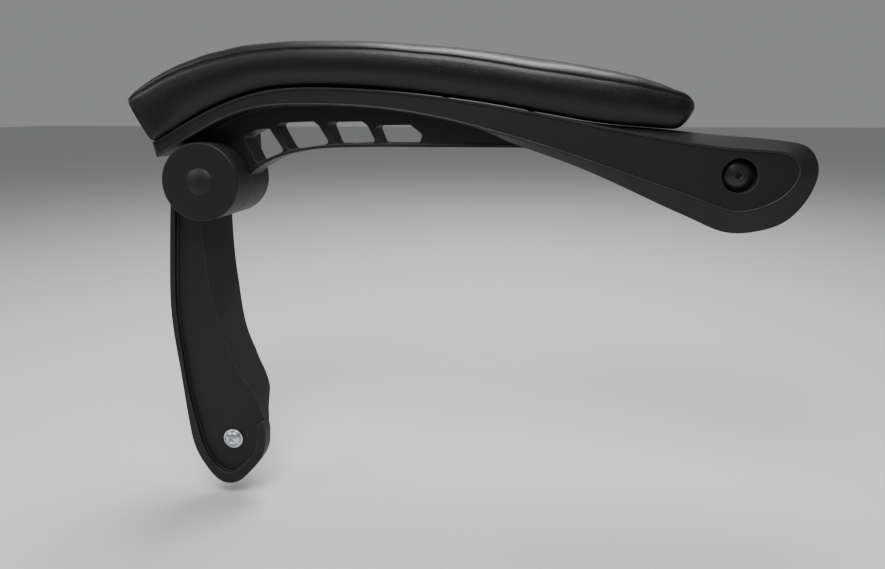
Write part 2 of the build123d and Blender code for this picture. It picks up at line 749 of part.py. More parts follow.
def make_strut():
    """The moulded strut with its hub head."""
    faces = [
        side_plane(strut_inner_y) * ring(strut_back_outline(), 3),
        side_plane(strut_outer_y) * ring(strut_outline(), 3),
    ]
    body = loft(faces, ruled=True) & strut_side_profile()

    # Hollow back, open to the inner side, with a solid pad round the foot bolt.
    hollow = slab(inset(ring(strut_outline(), 3), strut_wall + 1),
                  strut_outer_y + strut_recess + strut_wall, strut_inner_y + 1)
    hollow -= slab(Pos(hub_x, drop(0.92)) * Rectangle(200, strut_drop * 0.28),
                   strut_outer_y, strut_inner_y + 2)
    hollow -= rod(hub_x, hub_z, hub_r + cradle_gap + strut_wall + 2, strut_outer_y,
                  strut_inner_y + 2)
    for share in (0.36, 0.53):
        hollow -= slab(Pos(hub_x, drop(share)) * Rectangle(200, rib_thick), strut_outer_y,
                       strut_inner_y - 6)
    body -= hollow

    floor_y = strut_outer_y + strut_recess
    body -= slab(recess_outline(), strut_outer_y - 1, floor_y)

    body -= rod(hub_x, hub_z, hub_r + cradle_gap, boss_outer_y - head_gap, strut_inner_y + 1)

    # Top front corner trimmed behind the skin, so that the strut can fold up under the arm.
    corner = Rot(0, 0, 106) * Pos(strut_drop / 2, strut_drop / 2) * Rectangle(strut_drop, strut_drop)
    body -= slab(Pos(hub_x, hub_z) * corner, boss_outer_y - head_gap, strut_inner_y + 1)
    body += rod(hub_x, hub_z, hub_r, head_outer_y, head_inner_y)
    body -= rod(hub_x, hub_z, hub_r - hub_wall, head_outer_y - 1, head_floor_y)
    body -= rod(hub_x, hub_z, hub_bolt_r + drill, disc_y, boss_outer_y)

    # Foot: bore for the bush and a seat for the washer.
    sleeve_r = pivot_bolt_r + drill + 2
    body -= rod(foot_x, foot_z, sleeve_r + running + bush_wall, disc_y, 5)
    body -= rod(foot_x, foot_z, foot_washer_r + 0.5, disc_y, floor_y + 0.1)
    return body


# ---- rear pivot and foot bolt --------------------------------------------------------------
def domed_head(x, z, radius, height, y_seat):
    """A button head that stands outward from its seat, with a hexagon socket."""
    sphere_r = (radius**2 + height**2) / (2 * height) + 2
    ball = Pos(x, y_seat - height + sphere_r, z) * Sphere(sphere_r)
    head = ball & rod(x, z, radius, y_seat - 2 * height, y_seat)
    socket = Pos(x, z) * RegularPolygon(2.9, 6)
    return head - slab(socket, y_seat - 2 * height, y_seat - height + 2.8)


def pivot_bolt(x, z, radius, height, y_seat):
    """A bolt whose shank ends at the chair's face, with its threaded stud inside the chair."""
    head = domed_head(x, z, radius, height, y_seat)
    stud = chamfer(rim_edges(rod(x, z, pivot_bolt_r, 0, stud_length), stud_length), stud_tip)
    return head + rod(x, z, shank_r, y_seat, 0) + stud


def make_rear_pivot():
    """Everything on the rear pivot's axis, from its head to the chair's face."""
    floor_y = arm_outer_y + panel_step + rear_counterbore
    flange_y = floor_y - bush_flange
    seat = flange_y - side_gap
    sleeve_r = pivot_bolt_r + drill + sleeve_wall
    bore_r = sleeve_r + running
    inner_flange_y = rear_inner_y + bush_flange
    mid_y = (floor_y + rear_inner_y) / 2
    return {
        "rear_bolt": pivot_bolt(0, 0, rear_head_r, rear_head, seat),
        "rear_sleeve": tube(0, 0, sleeve_r, pivot_bolt_r + drill, seat, 0),
        "rear_spacer": tube(0, 0, rear_spacer_r, sleeve_r, inner_flange_y + side_gap, 0),
        "rear_outer_bush": flanged_bush(0, 0, bore_r, flange_y, mid_y - 2),
        "rear_inner_bush": flanged_bush(0, 0, bore_r, inner_flange_y, mid_y + 2),
    }


def make_foot_pivot():
    """Everything on the foot bolt's axis, from its head to the chair's face."""
    floor_y = strut_outer_y + strut_recess
    sleeve_r = pivot_bolt_r + drill + 2
    seat = floor_y - side_gap
    flange_y = foot_inner_y + bush_flange
    return {
        "foot_bolt": pivot_bolt(foot_x, foot_z, foot_head_r, foot_head, seat - foot_washer_thick),
        "foot_washer": tube(foot_x, foot_z, foot_washer_r, pivot_bolt_r + drill,
                            seat - foot_washer_thick, seat),
        "foot_sleeve": tube(foot_x, foot_z, sleeve_r, pivot_bolt_r + drill, seat, 0),
        "foot_bush": flanged_bush(foot_x, foot_z, sleeve_r + running, flange_y, floor_y),
        "foot_spacer": tube(foot_x, foot_z, foot_spacer_r, sleeve_r, flange_y + side_gap, 0),
    }


# ---- all pieces ----------------------------------------------------------------------------
os.makedirs("parts", exist_ok=True)
skin, foam, board, tee_nuts = make_pad()
pieces = {
    "arm_frame": make_arm(),
    "inner_cover": make_inner_cover(),
    "cover_screws": Compound(children=make_cover_screws()),
    "pad_cover": skin,
    "pad_foam": foam,
    "pad_board": board,
    "pad_tee_nuts": Compound(children=tee_nuts),
    "pad_bolts": Compound(children=make_pad_bolts()),
    "pad_washers": Compound(children=make_pad_washers()),
    "hub_cover": make_hub_cover(),
    "hub_cap": make_hub_cap(),
    "hub_bolt": make_hub_bolt(),
    "hub_bush": make_hub_bush(),
    "hub_inner_cap": make_hub_inner_cap(),
    "strut": make_strut(),
    **make_hub_hardware(),
    **make_rear_pivot(),
    **make_foot_pivot(),
}
for name, piece in pieces.items():
    save(piece, name)
    print(name, len(piece.solids()), round(piece.volume))
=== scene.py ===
# %% [markdown]
# # A linkage armrest for a reclining office chair
# The armrest is a bridge between two bolts: one in the side of the backrest, and one low down
# in the seat frame. A curved arm carries the upholstered pad, and a strut hangs from a round
# hub at its front end, so the armrest folds along with the backrest as the chair reclines.
# The hard pieces come as a fixed frame with true sizes. This lesson gives them their finishes,
# upholsters the pad with a cloth simulation, and cuts real threads on the two chair studs.

# %% Load the fixed frame
import json
import math

import bmesh
import bpy
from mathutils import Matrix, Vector


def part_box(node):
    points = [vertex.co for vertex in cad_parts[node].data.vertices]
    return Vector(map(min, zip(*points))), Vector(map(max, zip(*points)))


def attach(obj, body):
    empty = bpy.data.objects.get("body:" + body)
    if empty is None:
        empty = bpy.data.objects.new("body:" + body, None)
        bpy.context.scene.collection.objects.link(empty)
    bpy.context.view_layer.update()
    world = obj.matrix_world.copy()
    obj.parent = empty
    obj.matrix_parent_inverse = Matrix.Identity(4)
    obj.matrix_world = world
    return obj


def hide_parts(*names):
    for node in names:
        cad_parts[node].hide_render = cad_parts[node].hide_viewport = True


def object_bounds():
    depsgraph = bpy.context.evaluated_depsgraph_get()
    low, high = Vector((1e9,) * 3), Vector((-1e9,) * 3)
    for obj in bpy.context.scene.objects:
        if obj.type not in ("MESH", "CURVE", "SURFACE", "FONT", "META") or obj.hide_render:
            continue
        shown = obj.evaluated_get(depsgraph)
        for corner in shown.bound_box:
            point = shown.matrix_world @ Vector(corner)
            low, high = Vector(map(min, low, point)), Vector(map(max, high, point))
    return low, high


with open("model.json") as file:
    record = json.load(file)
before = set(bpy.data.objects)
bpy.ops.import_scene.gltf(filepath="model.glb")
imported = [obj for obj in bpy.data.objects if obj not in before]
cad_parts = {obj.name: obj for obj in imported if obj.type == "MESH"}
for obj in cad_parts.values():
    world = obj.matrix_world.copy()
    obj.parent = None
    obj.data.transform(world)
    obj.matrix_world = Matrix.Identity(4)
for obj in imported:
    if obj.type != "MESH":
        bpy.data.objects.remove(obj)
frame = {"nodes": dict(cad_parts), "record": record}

cad_low, cad_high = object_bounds()
print("overall size, mm:", [round(1000 * v) for v in cad_high - cad_low])

# %% [markdown]
# ## The camera
# The armrest is seen from outside the chair, a little in front of the hub and just under the
# level of the pad. A camera can be aimed with a constraint or by angles. A direction turned
# into a rotation is used here, because it stays exact when other views move the camera. The
# lens is a wide one and the picture is shifted slightly, so the arm sits where it should
# without tilting the uprights.

# %% Place the camera
camera_data = bpy.data.cameras.new("camera")
camera_data.lens = 23.39
camera_data.sensor_width = 36.0
camera_data.shift_x = -0.075
camera_data.shift_y = -0.12
camera_data.clip_start = 0.02
camera_data.clip_end = 60.0
camera = bpy.data.objects.new("camera", camera_data)
camera.location = (-0.1462, -0.5153, 0.0498)
looking = Vector((-0.0797, 0.9904, -0.1132))
camera.rotation_mode = "QUATERNION"
camera.rotation_quaternion = looking.to_track_quat("-Z", "Y")
bpy.context.collection.objects.link(camera)
bpy.context.scene.camera = camera
hub_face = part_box("hub_cover")[0]
print("camera to hub cover, mm:", round(1000 * (camera.location - hub_face).length))

# %% [markdown]
# ## Floor and light
# Dark pieces show their shape best on a pale sweep under large soft lights. One big flat
# floor in the same pale tone as the surroundings is enough, because the object hangs above it
# at the height of its foot. Area lights are chosen over lamps or suns: their size makes the
# highlights long and soft, which is what shows the crown of the pad and the arm's bevel.

# %% Build the floor and the lights
floor_mesh = bpy.data.meshes.new("floor")
reach = 14.0
floor_z = cad_low.z - 0.012
floor_corners = [(-reach, -reach, floor_z), (reach, -reach, floor_z), (reach, reach, floor_z),
                 (-reach, reach, floor_z)]
floor_mesh.from_pydata(floor_corners, [], [(0, 1, 2, 3)])
floor = bpy.data.objects.new("floor", floor_mesh)
bpy.context.collection.objects.link(floor)

paper = bpy.data.materials.new("pale_paper")
paper.use_nodes = True
paper_shader = paper.node_tree.nodes["Principled BSDF"]
paper_shader.inputs["Base Color"].default_value = (0.62, 0.62, 0.62, 1)
paper_shader.inputs["Roughness"].default_value = 0.9
floor_mesh.materials.append(paper)

world = bpy.data.worlds.new("studio")
world.use_nodes = True
world.node_tree.nodes["Background"].inputs["Color"].default_value = (0.86, 0.87, 0.88, 1)
world.node_tree.nodes["Background"].inputs["Strength"].default_value = 0.30
bpy.context.scene.world = world


def soft_light(name, place, target, size, power):
    """A square area light aimed at a point."""
    data = bpy.data.lights.new(name, "AREA")
    data.shape = "SQUARE"
    data.size = size
    data.energy = power
    light = bpy.data.objects.new(name, data)
    light.location = place
    aim = Vector(target) - Vector(place)
    light.rotation_euler = aim.to_track_quat("-Z", "Y").to_euler()
    light.visible_camera = False
    bpy.context.collection.objects.link(light)
    return light


middle = (cad_low + cad_high) / 2
soft_light("overhead", (-0.20, 0.45, 1.45), middle, 0.9, 34)
soft_light("above_pad", (-0.28, -0.50, 0.72), (-0.28, -0.02, 0.07), 0.42, 8.5)
soft_light("left", (-1.70, -0.60, 0.75), middle, 0.7, 6)
print("floor height, mm:", round(1000 * floor_z))

# %% [markdown]
# ## Shared effects
# The same few effects turn up on many finishes: the fine grain of a moulding tool, edges that
# are slightly rounded and paler, the pebbled skin of leather, faint marks of handling. Each
# could be repeated in every material, but a shader node group is built once, given named
# inputs and outputs, and placed with different values wherever it is needed. Sizes are real,
# because the texture is laid out in object coordinates, which are metres here.

# %% A helper that starts a node group
def start_group(name, inputs, outputs):
    """A shader node group with its sockets. inputs holds (socket type, name, default)."""
    group = bpy.data.node_groups.new(name, "ShaderNodeTree")
    for kind, label, default in inputs:
        socket = group.interface.new_socket(label, in_out="INPUT", socket_type=kind)
        socket.default_value = default
    for kind, label in outputs:
        group.interface.new_socket(label, in_out="OUTPUT", socket_type=kind)
    return group, group.nodes.new("NodeGroupInput"), group.nodes.new("NodeGroupOutput")


def add(tree, kind, **settings):
    """A new node; a setting named after an input fills that input, any other is a property."""
    node = tree.nodes.new(kind)
    for name, value in settings.items():
        label = name.replace("_", " ")
        if label in node.inputs:
            node.inputs[label].default_value = value
        else:
            setattr(node, name, value)
    return node


def sums(tree, operation, first, second):
    """A Math node; first and second are sockets or plain numbers."""
    node = tree.nodes.new("ShaderNodeMath")
    node.operation = operation
    for slot, value in enumerate((first, second)):
        if isinstance(value, (int, float)):
            node.inputs[slot].default_value = value
        else:
            tree.links.new(value, node.inputs[slot])
    return node.outputs[0]


number, colour, vector = "NodeSocketFloat", "NodeSocketColor", "NodeSocketVector"

# %% [markdown]
# ### Moulded grain
# A plastic moulding copies the etched skin of its steel tool: shallow, even pits well under a
# millimetre across. Noise alone looks cloudy, and cells alone look like scales, so the group
# mixes a smooth cell pattern with finer noise and gives out one height.

# %% Node group: moulded grain
grain, g_in, g_out = start_group(
    "moulded_grain", [(number, "Grains per metre", 1500.0), (number, "Fine share", 0.4)],
    [(number, "Height"), (number, "Mottle")])
place = add(grain, "ShaderNodeTexCoord")
cells = add(grain, "ShaderNodeTexVoronoi", feature="SMOOTH_F1", Smoothness=0.6)
fine = add(grain, "ShaderNodeTexNoise", Detail=3.0)
broad = add(grain, "ShaderNodeTexNoise", Scale=38.0, Detail=3.0)
for node in (cells, fine, broad):
    grain.links.new(place.outputs["Object"], node.inputs["Vector"])
grain.links.new(g_in.outputs["Grains per metre"], cells.inputs["Scale"])
finer = sums(grain, "MULTIPLY", g_in.outputs["Grains per metre"], 2.3)
grain.links.new(finer, fine.inputs["Scale"])
fine_part = sums(grain, "MULTIPLY", fine.outputs["Fac"], g_in.outputs["Fine share"])
grain.links.new(sums(grain, "ADD", cells.outputs["Distance"], fine_part), g_out.inputs["Height"])
grain.links.new(broad.outputs["Fac"], g_out.inputs["Mottle"])
print("moulded_grain:", len(grain.nodes), "nodes")

# %% [markdown]
# ### Soft edges
# Real mouldings have no razor-sharp corners. Rounding every edge in the mesh would change the
# fixed frame, so the shading does it: the Bevel node gives the normal of an edge as if it were
# rounded. Where that normal differs from the true one there is an edge, and the difference
# doubles as a mask for a paler edge line: partly the polish that hands and trouser legs leave,
# and in the arm's finish also a painted highlight along its lip and panel rim.

# %% Node group: soft edges
edges, g_in, g_out = start_group(
    "soft_edges", [(number, "Radius", 0.0006), (number, "Wear", 0.5)],
    [(vector, "Normal"), (number, "Edge")])
bevel = add(edges, "ShaderNodeBevel", samples=6)
edges.links.new(g_in.outputs["Radius"], bevel.inputs["Radius"])
true = add(edges, "ShaderNodeNewGeometry")
dot = add(edges, "ShaderNodeVectorMath", operation="DOT_PRODUCT")
edges.links.new(bevel.outputs["Normal"], dot.inputs[0])
edges.links.new(true.outputs["Normal"], dot.inputs[1])
turned = sums(edges, "SUBTRACT", 1.0, dot.outputs["Value"])
patches = add(edges, "ShaderNodeTexNoise", Scale=90.0, Detail=4.0)
where = add(edges, "ShaderNodeTexCoord")
edges.links.new(where.outputs["Object"], patches.inputs["Vector"])
broken = sums(edges, "MULTIPLY", sums(edges, "MULTIPLY", turned, 4.0), patches.outputs["Fac"])
limit = add(edges, "ShaderNodeClamp")
edges.links.new(sums(edges, "MULTIPLY", broken, g_in.outputs["Wear"]), limit.inputs["Value"])
edges.links.new(bevel.outputs["Normal"], g_out.inputs["Normal"])
edges.links.new(limit.outputs[0], g_out.inputs["Edge"])
print("soft_edges:", len(edges.nodes), "nodes")

# %% [markdown]
# ### Handling marks
# Dark satin plastic and leather are never one even gloss. Skin oil, faint rubbing and a little
# settled dust change the roughness in broad soft patches, and dust shows most on faces that
# look upwards. The group gives out a dust mask and a polish value, both between 0 and 1.

# %% Node group: handling marks
marks, g_in, g_out = start_group(
    "handling_marks", [(number, "Patch size", 0.05), (number, "Dust", 0.2)],
    [(number, "Dust mask"), (number, "Polish")])
where = add(marks, "ShaderNodeTexCoord")
patch = add(marks, "ShaderNodeTexNoise", Detail=5.0, Roughness=0.62)
speck = add(marks, "ShaderNodeTexNoise", Scale=700.0, Detail=2.0)
for node in (patch, speck):
    marks.links.new(where.outputs["Object"], node.inputs["Vector"])
marks.links.new(sums(marks, "DIVIDE", 1.0, g_in.outputs["Patch size"]), patch.inputs["Scale"])
facing = add(marks, "ShaderNodeNewGeometry")
split = add(marks, "ShaderNodeSeparateXYZ")
marks.links.new(facing.outputs["Normal"], split.inputs[0])
up = sums(marks, "MAXIMUM", split.outputs["Z"], 0.0)
dusted = sums(marks, "MULTIPLY", up, speck.outputs["Fac"])
settled = sums(marks, "MULTIPLY", dusted, patch.outputs["Fac"])
marks.links.new(sums(marks, "MULTIPLY", settled, g_in.outputs["Dust"]), g_out.inputs["Dust mask"])
marks.links.new(patch.outputs["Fac"], g_out.inputs["Polish"])
print("handling_marks:", len(marks.nodes), "nodes")

# %% [markdown]
# ### Leather grain
# Corrected leather has small rounded pebbles parted by fine creases. The distance to a cell's
# edge gives exactly that, once the cells are pulled out of shape by noise so that no row of
# them lines up. The crease output is used twice: as depth, and for painted shade in the creases.

# %% Node group: leather grain
leather, g_in, g_out = start_group(
    "leather_grain", [(number, "Pebbles per metre", 900.0), (number, "Stretch", 0.35)],
    [(number, "Height"), (number, "Crease"), (number, "Tone")])
where = add(leather, "ShaderNodeTexCoord")
warp = add(leather, "ShaderNodeTexNoise", Scale=420.0, Detail=2.0)
pull = add(leather, "ShaderNodeVectorMath", operation="SCALE")
bent = add(leather, "ShaderNodeVectorMath", operation="ADD")
pebble = add(leather, "ShaderNodeTexVoronoi", feature="DISTANCE_TO_EDGE")
pore = add(leather, "ShaderNodeTexNoise", Scale=5200.0, Detail=2.0)
tone = add(leather, "ShaderNodeTexNoise", Scale=22.0, Detail=4.0)
leather.links.new(where.outputs["Object"], warp.inputs["Vector"])
leather.links.new(warp.outputs["Color"], pull.inputs[0])
leather.links.new(sums(leather, "MULTIPLY", g_in.outputs["Stretch"], 0.004), pull.inputs["Scale"])
leather.links.new(where.outputs["Object"], bent.inputs[0])
leather.links.new(pull.outputs[0], bent.inputs[1])
leather.links.new(bent.outputs[0], pebble.inputs["Vector"])
leather.links.new(g_in.outputs["Pebbles per metre"], pebble.inputs["Scale"])
for node in (pore, tone):
    leather.links.new(where.outputs["Object"], node.inputs["Vector"])
step = add(leather, "ShaderNodeMapRange")
step.inputs["From Max"].default_value = 0.16
leather.links.new(pebble.outputs["Distance"], step.inputs["Value"])
rise = sums(leather, "ADD", step.outputs[0], sums(leather, "MULTIPLY", pore.outputs["Fac"], 0.25))
leather.links.new(rise, g_out.inputs["Height"])
leather.links.new(sums(leather, "SUBTRACT", 1.0, step.outputs[0]), g_out.inputs["Crease"])
leather.links.new(tone.outputs["Fac"], g_out.inputs["Tone"])
print("leather_grain:", len(leather.nodes), "nodes")

# %% [markdown]
# ## Plastic mouldings
# The arm, the strut and the covers are glass-filled nylon, dyed through in charcoal. One recipe
# with different values serves them all: a colour that drifts a little with the mottle, paler
# edges (wear, and in the arm's finish a painted highlight), dust on top, and a bump from the
# tool's grain laid over the softened edges.

# %% The recipe for a moulded plastic
def place_group(material, group, **values):
    """Put a node group in a material and set its named inputs."""
    node = material.node_tree.nodes.new("ShaderNodeGroup")
    node.node_tree = group
    for name, value in values.items():
        node.inputs[name.replace("_", " ")].default_value = value
    return node


def blend_colours(tree, mask, low, high):
    """A colour mix by a mask; low and high are colours or colour sockets."""
    mix = tree.nodes.new("ShaderNodeMix")
    mix.data_type = "RGBA"
    tree.links.new(mask, mix.inputs["Factor"])
    for socket, value in ((mix.inputs[6], low), (mix.inputs[7], high)):
        if isinstance(value, tuple):
            socket.default_value = (*value, 1)
        else:
            tree.links.new(value, socket)
    return mix.outputs[2]


def spread(tree, value, low, high):
    """Map a 0 to 1 value on to the range from low to high."""
    node = tree.nodes.new("ShaderNodeMapRange")
    node.inputs["To Min"].default_value = low
    node.inputs["To Max"].default_value = high
    tree.links.new(value, node.inputs["Value"])
    return node.outputs[0]


def moulded_plastic(name, base, edge_colour, rough, grains, depth, radius, dust=0.25):
    """Charcoal moulded plastic; rough is its lowest and highest roughness."""
    material = bpy.data.materials.new(name)
    material.use_nodes = True
    tree = material.node_tree
    shader = tree.nodes["Principled BSDF"]
    skin = place_group(material, grain, Grains_per_metre=grains)
    edge = place_group(material, edges, Radius=radius, Wear=0.7)
    mark = place_group(material, marks, Patch_size=0.045, Dust=dust)
    darker = tuple(0.82 * c for c in base)
    drift = blend_colours(tree, skin.outputs["Mottle"], darker, base)
    # Paler colour along the edges: wear, and in the arm's finish a painted highlight along the lip
    # and panel rim.
    edge_tinted = blend_colours(tree, edge.outputs["Edge"], drift, edge_colour)
    dusty = blend_colours(tree, mark.outputs["Dust mask"], edge_tinted, (0.16, 0.155, 0.15))
    tree.links.new(dusty, shader.inputs["Base Color"])
    shader.inputs["Specular IOR Level"].default_value = 0.32
    gloss = spread(tree, mark.outputs["Polish"], rough[1], rough[0])
    tree.links.new(gloss, shader.inputs["Roughness"])
    bump = add(tree, "ShaderNodeBump", Strength=depth, Distance=0.00012)
    tree.links.new(skin.outputs["Height"], bump.inputs["Height"])
    tree.links.new(edge.outputs["Normal"], bump.inputs["Normal"])
    tree.links.new(bump.outputs["Normal"], shader.inputs["Normal"])
    return material


finishes = {}
# The arm's edge colour is far paler than its base: a painted highlight along the lip and the panel
# rim, over the edge wear.
finishes["arm_plastic"] = moulded_plastic(
    "arm_plastic", (0.0086, 0.0080, 0.0084), (0.115, 0.112, 0.115), (0.46, 0.62), 1500, 0.40, 0.0011)
finishes["cover_plastic"] = moulded_plastic(
    "cover_plastic", (0.0095, 0.0092, 0.0095), (0.03, 0.03, 0.03), (0.50, 0.64), 1300, 0.45, 0.0005)
finishes["hub_plastic"] = moulded_plastic(
    "hub_plastic", (0.0088, 0.0085, 0.0088), (0.060, 0.059, 0.060), (0.42, 0.56), 2100, 0.25, 0.0007)
finishes["black_plastic"] = moulded_plastic(
    "black_plastic", (0.006, 0.006, 0.0062), (0.024, 0.024, 0.024), (0.42, 0.56), 1500, 0.30, 0.0004)
finishes["bearing_plastic"] = moulded_plastic(
    "bearing_plastic", (0.62, 0.60, 0.55), (0.70, 0.69, 0.66), (0.30, 0.42), 2600, 0.10, 0.0003, 0.05)
finishes["friction_liner"] = moulded_plastic(
    "friction_liner", (0.20, 0.15, 0.11), (0.30, 0.24, 0.18), (0.75, 0.88), 1100, 0.55, 0.0003, 0.1)
print("plastic finishes:", ", ".join(finishes))

# %% [markdown]
# ## Metal pieces
# The foot bolt, nut and washers are zinc plated: bright, slightly blue, with a fine crystal
# mottle in the gloss. The rear bolt and the pad bolts are blackened: a thin dark oxide over
# steel, shinier than the plastic round it. Both use a metallic shader, and the plating's
# unevenness goes in the roughness.

# %% Zinc plate and black oxide
def plated_steel(name, base, edge_colour, rough, crystals, metal):
    """Steel with a thin plated or oxidised skin."""
    material = bpy.data.materials.new(name)
    material.use_nodes = True
    tree = material.node_tree
    shader = tree.nodes["Principled BSDF"]
    skin = place_group(material, grain, Grains_per_metre=crystals, Fine_share=0.9)
    edge = place_group(material, edges, Radius=0.0003, Wear=1.0)
    mark = place_group(material, marks, Patch_size=0.012, Dust=0.1)
    tint = blend_colours(tree, skin.outputs["Mottle"], tuple(0.86 * c for c in base), base)
    edge_tinted = blend_colours(tree, edge.outputs["Edge"], tint, edge_colour)
    tree.links.new(edge_tinted, shader.inputs["Base Color"])
    gloss = spread(tree, mark.outputs["Polish"], rough[1], rough[0])
    tree.links.new(gloss, shader.inputs["Roughness"])
    shader.inputs["Metallic"].default_value = metal
    bump = add(tree, "ShaderNodeBump", Strength=0.12, Distance=0.00004)
    tree.links.new(skin.outputs["Height"], bump.inputs["Height"])
    tree.links.new(edge.outputs["Normal"], bump.inputs["Normal"])
    tree.links.new(bump.outputs["Normal"], shader.inputs["Normal"])
    return material


finishes["zinc_steel"] = plated_steel(
    "zinc_steel", (0.74, 0.76, 0.79), (0.86, 0.86, 0.86), (0.20, 0.34), 3200, 1.0)
finishes["black_steel"] = plated_steel(
    "black_steel", (0.030, 0.029, 0.031), (0.16, 0.155, 0.15), (0.22, 0.36), 2600, 0.55)
print("metal finishes: zinc_steel, black_steel")

# %% [markdown]
# ## Wood and foam inside the pad
# The board and the foam are hidden by the cover, but they are real pieces, so they get real
# finishes. Bent plywood shows as fine bands in its edge, because its plies are stacked across
# the board's thickness; a noise texture stretched along one axis draws both the bands and the face
# grain.

# %% Bent birch plywood
def birch_plywood():
    """Pale wood with stretched grain."""
    material = bpy.data.materials.new("plywood")
    material.use_nodes = True
    tree = material.node_tree
    shader = tree.nodes["Principled BSDF"]
    where = add(tree, "ShaderNodeTexCoord")
    squeeze = add(tree, "ShaderNodeMapping")
    squeeze.inputs["Scale"].default_value = (0.06, 1.0, 1.0)
    bands = add(tree, "ShaderNodeTexNoise", Scale=800.0, Detail=5.0, Distortion=0.4)
    tree.links.new(where.outputs["Object"], squeeze.inputs["Vector"])
    tree.links.new(squeeze.outputs[0], bands.inputs["Vector"])
    wood = blend_colours(tree, bands.outputs["Fac"], (0.46, 0.30, 0.16), (0.72, 0.55, 0.34))
    tree.links.new(wood, shader.inputs["Base Color"])
    tree.links.new(spread(tree, bands.outputs["Fac"], 0.75, 0.55), shader.inputs["Roughness"])
    return material


finishes["plywood"] = birch_plywood()
finishes["pad_foam"] = moulded_plastic(
    "pad_foam", (0.72, 0.66, 0.46), (0.78, 0.74, 0.56), (0.90, 0.98), 700, 0.9, 0.0005, 0.0)
print("hidden finishes: plywood, pad_foam")

# %% [markdown]
# ## Black upholstery leather
# The pad is covered in black finished leather. The finish coat is a thin clear lacquer, so the
# material has a low coat over a rougher base; the coat is what draws the long soft highlight
# along the side band. The creases get painted shade, and the gloss varies in broad polished patches.

# %% Leather
def black_leather():
    """Pebbled black leather with a soft finish coat."""
    material = bpy.data.materials.new("pad_leather")
    material.use_nodes = True
    tree = material.node_tree
    shader = tree.nodes["Principled BSDF"]
    skin = place_group(material, leather, Pebbles_per_metre=760.0, Stretch=0.4)
    mark = place_group(material, marks, Patch_size=0.07, Dust=0.10)
    deep, pale = (0.0030, 0.0029, 0.0031), (0.0058, 0.0056, 0.0059)
    hide = blend_colours(tree, skin.outputs["Tone"], deep, pale)
    # Painted shade: the creases between the pebbles are darkened.
    crease_shaded = blend_colours(tree, skin.outputs["Crease"], hide, (0.0012, 0.0012, 0.0012))
    dusty = blend_colours(tree, mark.outputs["Dust mask"], crease_shaded, (0.10, 0.10, 0.10))
    tree.links.new(dusty, shader.inputs["Base Color"])
    tree.links.new(spread(tree, mark.outputs["Polish"], 0.40, 0.26), shader.inputs["Roughness"])
    shader.inputs["Specular IOR Level"].default_value = 0.30
    shader.inputs["Coat Weight"].default_value = 0.10
    shader.inputs["Coat Roughness"].default_value = 0.22
    bump = add(tree, "ShaderNodeBump", Strength=0.42, Distance=0.00018)
    tree.links.new(skin.outputs["Height"], bump.inputs["Height"])
    tree.links.new(bump.outputs["Normal"], shader.inputs["Normal"])
    return material


finishes["pad_leather"] = black_leather()

# %% [markdown]
# ## Giving the frame its finishes
# Every piece of the frame names a material slot in its record. Looking the slot up and putting
# the finish in the piece's own slots keeps shape and finish apart: the mesh is never touched.

# %% Put the finishes on the frame
slot_of = {s["node"]: s["material_slot"] for s in frame["record"]["subparts"]}
for name, piece in frame["nodes"].items():
    for holder in piece.material_slots:
        holder.material = finishes[slot_of[name]]
print("pieces finished:", len(slot_of))

# %% [markdown]
# ## The shape of the pad
# The pad is a box cushion bent along the arm: a flat underside on the arm's deck, a side band
# that tucks in underneath and bulges above, a seam near its top edge and a crowned top panel.
# It could be sculpted, but it is built as a loft: a smooth line along the underside, and a
# cross-section square to it at each station. Extra rows on both sides of the seam keep the
# seam crisp when the mesh is later smoothed.

# %% The line along the underside, and the pad's sizes along it
deck_line = [
    (-0.4866, 0.0262), (-0.4550, 0.0438), (-0.4200, 0.0598), (-0.3853, 0.0691), (-0.3405, 0.0713),
    (-0.2849, 0.0685), (-0.2101, 0.0591), (-0.1501, 0.0485), (-0.1098, 0.0416), (-0.0600, 0.0372),
    (-0.0506, 0.0366),
]
height_along = [
    (0, 44.5), (0.03, 47.4), (0.06, 48.6), (0.10, 48.2), (0.15, 46.0), (0.20, 43.0),
    (0.26, 40.2), (0.36, 39.5), (0.50, 40.4), (0.60, 42.0), (0.70, 42.3), (0.82, 44.4),
    (0.87, 44.0), (0.92, 41.8),
    (0.96, 38.4), (1, 33.3),
]
half_width_along = [(0, 38.0), (0.03, 39.6), (0.90, 39.6), (1, 35.6)]
seam_along = [
    (0, 0.88), (0.05, 0.80), (0.2, 0.76), (0.5, 0.78), (0.8, 0.76), (0.95, 0.78), (1, 0.82),
]
tuck_along = [(0, 0.35), (0.10, 1.0), (0.93, 1.0), (1, 0.8)]
pad_middle = (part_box("pad_cover")[0].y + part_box("pad_cover")[1].y) / 2


def curve_between(before, a, b, after, t):
    """A point at t from a to b on the Catmull-Rom curve through the four points."""
    straight = 2 * a + t * (b - before)
    bent = t * t * (2 * before - 5 * a + 4 * b - after)
    twisted = t ** 3 * (3 * a - before - 3 * b + after)
    return 0.5 * (straight + bent + twisted)


def smooth_through(points, steps):
    """A Catmull-Rom curve through the points, sampled steps times in each gap."""
    pts = [Vector(p) for p in points]
    pts = [2 * pts[0] - pts[1], *pts, 2 * pts[-1] - pts[-2]]
    out = []
    for a, b, c, d in zip(pts, pts[1:], pts[2:], pts[3:]):
        out += [curve_between(a, b, c, d, i / steps) for i in range(steps)]
    return out + [pts[-2]]


def read_table(table, share):
    """Smooth reading of (share, value) pairs."""
    for (s0, v0), (s1, v1) in zip(table, table[1:]):
        if share <= s1:
            break
    t = min(max((share - s0) / (s1 - s0), 0), 1)
    return v0 + (v1 - v0) * (3 * t * t - 2 * t ** 3)


line = smooth_through(deck_line, 24)
lengths = [0.0]
for a, b in zip(line, line[1:]):
    lengths.append(lengths[-1] + (b - a).length)
print("length along the pad's underside, mm:", round(1000 * lengths[-1]))

